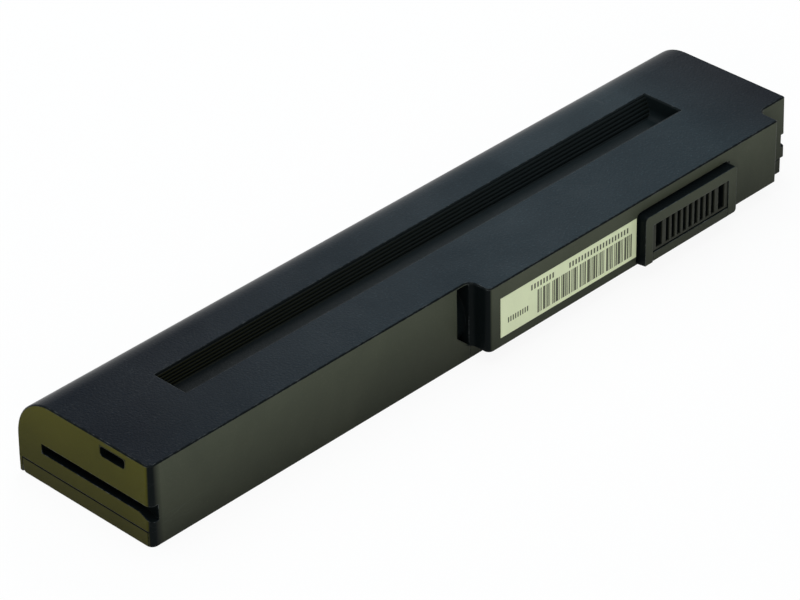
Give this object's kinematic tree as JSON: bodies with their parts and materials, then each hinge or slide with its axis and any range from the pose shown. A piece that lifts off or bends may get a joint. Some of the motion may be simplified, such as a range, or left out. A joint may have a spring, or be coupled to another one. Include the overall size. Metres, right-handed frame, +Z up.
{
  "type": "laptop battery",
  "caption": "Slim rechargeable battery pack for a laptop: a dark moulded case with a round back edge, a ribbed grip recess, guide slots at its ends and a slotted connector on a stepped front.",
  "frame": {"origin": "centre of the pack's bounding box, on its underside", "axes": "+X along the pack towards the end beside the connector, +Y from the connector side to the rounded back edge, +Z up out of the face with the grip recess"},
  "size_m": [0.2058, 0.0502, 0.0206],
  "materials": {
    "case_plastic": "fine grained, blue-black",
    "cover_plastic": "fine grained, black",
    "insert_plastic": "smooth, black",
    "label_paper": "coated, pale green-white",
    "contact_metal": "thin gold plate over spring bronze",
    "board_laminate": "green solder mask",
    "chip_plastic": "moulded resin",
    "capacitor_ceramic": "tan, tinned ends",
    "fuse_ceramic": "white body",
    "resistor_metal": "bare alloy strip",
    "bead_resin": "dipped resin",
    "cell_can": "steel can in a tight blue sleeve",
    "ring_paper": "pressed fibre",
    "nickel": "rolled strip, spot welded",
    "insulator_paper": "grey-green fibre sheet",
    "foam": "closed-cell foam",
    "flex_film": "amber film over copper tracks"
  },
  "bodies": {
    "root": {"barcode_label": "label_paper", "board_foam": "foam", "board_insulator": "insulator_paper", "bottom_cover": "cover_plastic", "capacitors": "capacitor_ceramic", "cell_back_left": "cell_can", "cell_back_middle": "cell_can", "cell_back_right": "cell_can", "cell_front_left": "cell_can", "cell_front_middle": "cell_can", "cell_front_right": "cell_can", "charge_mosfet": "chip_plastic", "chip_fuse": "fuse_ceramic", "circuit_board": "board_laminate", "connector_insert": "insert_plastic", "contact_1": "contact_metal", "contact_2": "contact_metal", "contact_3": "contact_metal", "contact_4": "contact_metal", "contact_5": "contact_metal", "contact_6": "contact_metal", "contact_7": "contact_metal", "contact_8": "contact_metal", "contact_9": "contact_metal", "discharge_mosfet": "chip_plastic", "end_pad_left": "foam", "end_pad_right": "foam", "gauge_chip": "chip_plastic", "link_left_end": "nickel", "link_left_middle": "nickel", "link_middle_right": "nickel", "link_paper_left_middle": "insulator_paper", "link_paper_middle_right": "insulator_paper", "link_right_end": "nickel", "protection_chip": "chip_plastic", "ring_back_left": "ring_paper", "ring_back_middle": "ring_paper", "ring_back_right": "ring_paper", "ring_front_left": "ring_paper", "ring_front_middle": "ring_paper", "ring_front_right": "ring_paper", "sense_flex": "flex_film", "sense_resistor": "resistor_metal", "thermistor": "bead_resin", "top_shell": "case_plastic"}
  },
  "joints": []
}
